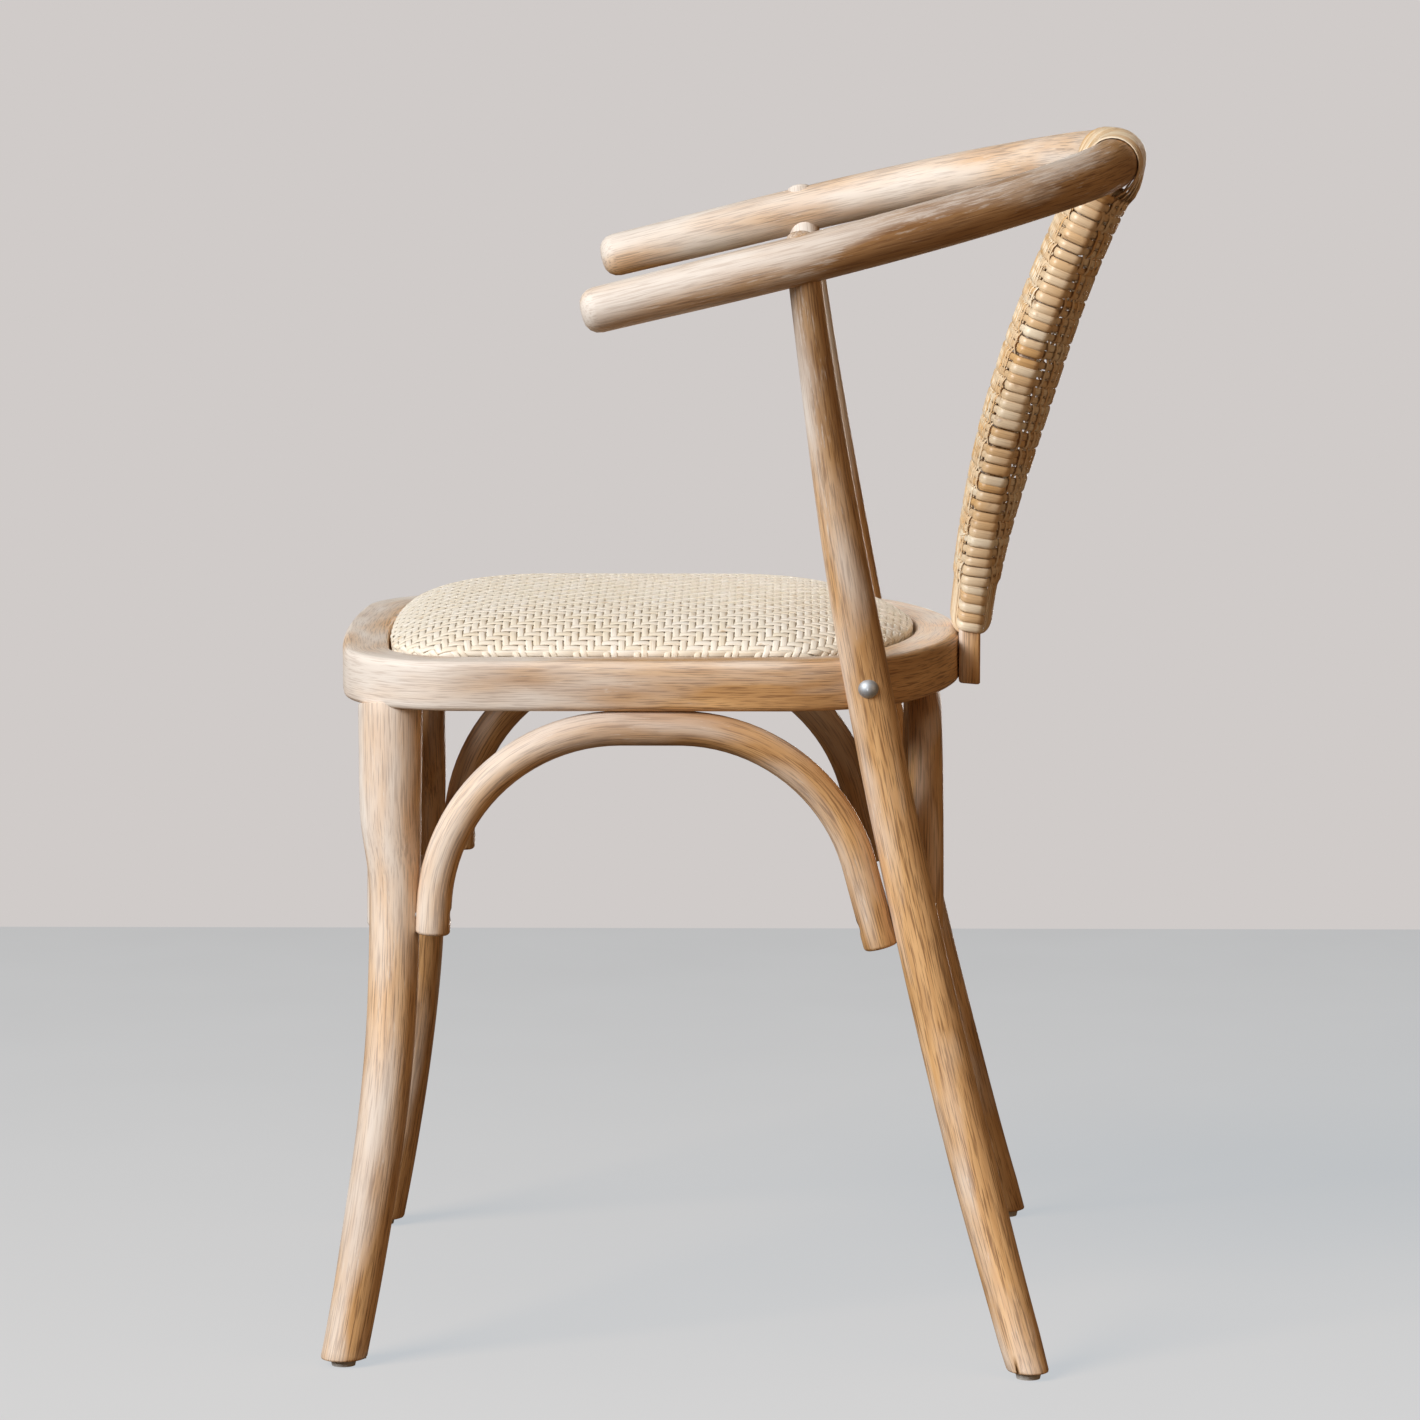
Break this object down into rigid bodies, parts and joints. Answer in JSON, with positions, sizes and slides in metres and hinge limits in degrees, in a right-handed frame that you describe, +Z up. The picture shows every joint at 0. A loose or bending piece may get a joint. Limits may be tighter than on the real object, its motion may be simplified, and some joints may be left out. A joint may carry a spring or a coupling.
{
  "type": "dining armchair",
  "caption": "Bentwood dining armchair: one bent rail forms the arms and back over swept legs, with arched braces, a crowned woven cane seat and a tapering woven cane splat.",
  "frame": {"origin": "on the floor under the middle of the chair's bounding box", "axes": "X across the chair with the sitter's left at +X, Y from front to back, Z up"},
  "size_m": [0.5428, 0.5341, 0.7799],
  "materials": {
    "limed_wood": "limed and lightly waxed bentwood",
    "rattan": "natural peeled cane, satin",
    "plywood": "bare plywood",
    "lining": "matte brown lining over a foam pad",
    "zinc_steel": "dull zinc plate",
    "glide_plastic": "matte moulded plastic"
  },
  "bodies": {
    "root": {"back_rail": "limed_wood", "left_rear_post": "limed_wood", "right_rear_post": "limed_wood", "left_front_leg": "limed_wood", "right_front_leg": "limed_wood", "seat_frame": "limed_wood", "left_side_brace": "limed_wood", "right_side_brace": "limed_wood", "front_brace": "limed_wood", "rear_brace": "limed_wood", "left_splat_stile": "limed_wood", "right_splat_stile": "limed_wood", "seat_weave": "rattan", "left_stile_wrap": "rattan", "right_stile_wrap": "rattan", "splat_front_weave": "rattan", "splat_back_weave": "rattan", "rail_wrap": "rattan", "seat_board": "plywood", "seat_padding": "lining", "seat_screws": "zinc_steel", "brace_end_screws": "zinc_steel", "brace_top_screws": "zinc_steel", "splat_foot_screws": "zinc_steel", "post_bolts": "zinc_steel", "post_bolt_inserts": "zinc_steel", "foot_glides": "glide_plastic"}
  },
  "joints": []
}
